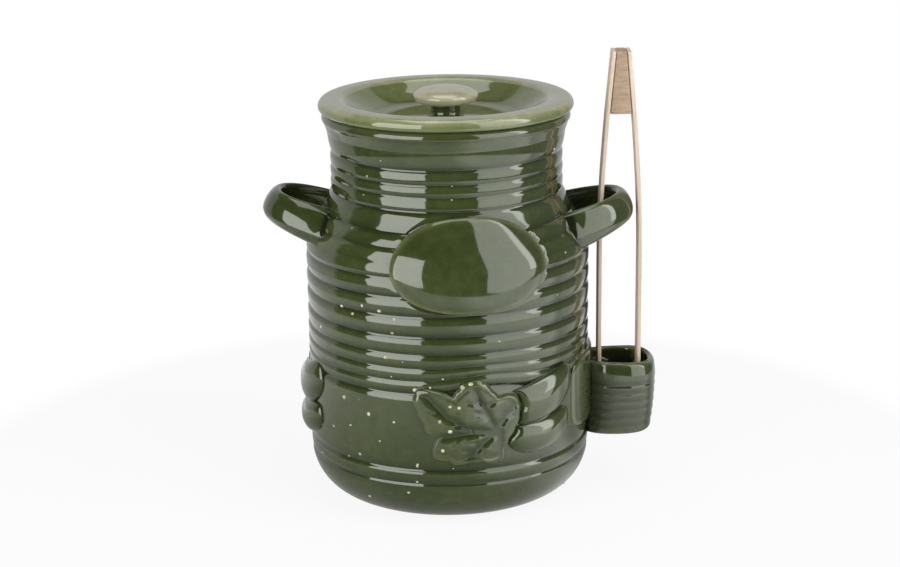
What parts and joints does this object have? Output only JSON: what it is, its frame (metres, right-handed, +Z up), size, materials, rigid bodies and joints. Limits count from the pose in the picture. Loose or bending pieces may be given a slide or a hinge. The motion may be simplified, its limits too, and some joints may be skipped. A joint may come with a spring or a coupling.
{
  "type": "pickle crock",
  "caption": "Ribbed green-glazed stoneware crock with a loose dished lid, strap loop handles, a side pocket holding springy wooden tongs, and leaf and gherkin reliefs.",
  "frame": {"origin": "centre of the round foot, on the table", "axes": "+Z up along the crock's axis; the front with the medallion looks along -Y; handles lie along X, and the tong pocket is on the +X side"},
  "size_m": [0.2238, 0.1704, 0.2525],
  "materials": {
    "green_glaze": "gloss",
    "beech": "satin",
    "beech_wedge": "satin"
  },
  "bodies": {
    "crock": {"crock_body": "green_glaze", "handle_left": "green_glaze", "handle_right": "green_glaze", "tong_pocket": "green_glaze", "front_medallion": "green_glaze", "front_leaf": "green_glaze", "front_upper_gherkin": "green_glaze", "front_lower_gherkin": "green_glaze", "back_leaf": "green_glaze", "back_upper_gherkin": "green_glaze", "back_lower_gherkin": "green_glaze", "left_leaf": "green_glaze", "left_upper_gherkin": "green_glaze", "left_lower_gherkin": "green_glaze"},
    "lid": {"lid": "green_glaze", "lid_knob": "green_glaze"},
    "tongs": {"tong_spacer": "beech_wedge", "tong_head_inner": "beech", "tong_head_outer": "beech"},
    "arm_outer": {"tong_arm_outer": "beech"},
    "arm_inner": {"tong_arm_inner": "beech"}
  },
  "joints": [
    {"name": "lid_lift", "type": "slide", "parent": "crock", "child": "lid", "axis": [0, 0, 1], "range_m": [0, 0.1]},
    {"name": "tongs_lift", "type": "slide", "parent": "crock", "child": "tongs", "axis": [0, 0, 1], "range_m": [0, 0.22]},
    {"name": "outer_arm_squeeze", "type": "hinge", "parent": "tongs", "child": "arm_outer", "pos_m": [0.10742, 0, 0.1905], "axis": [0, 1, 0], "range_deg": [0, 3.6], "stiffness_Nm_per_rad": 2.3},
    {"name": "inner_arm_squeeze", "type": "hinge", "parent": "tongs", "child": "arm_inner", "pos_m": [0.08858, 0, 0.1905], "axis": [0, 1, 0], "range_deg": [-3.6, 0], "stiffness_Nm_per_rad": 2.3}
  ],
  "couplings": [
    {"joint": "inner_arm_squeeze", "follows": "outer_arm_squeeze", "ratio": -1}
  ]
}
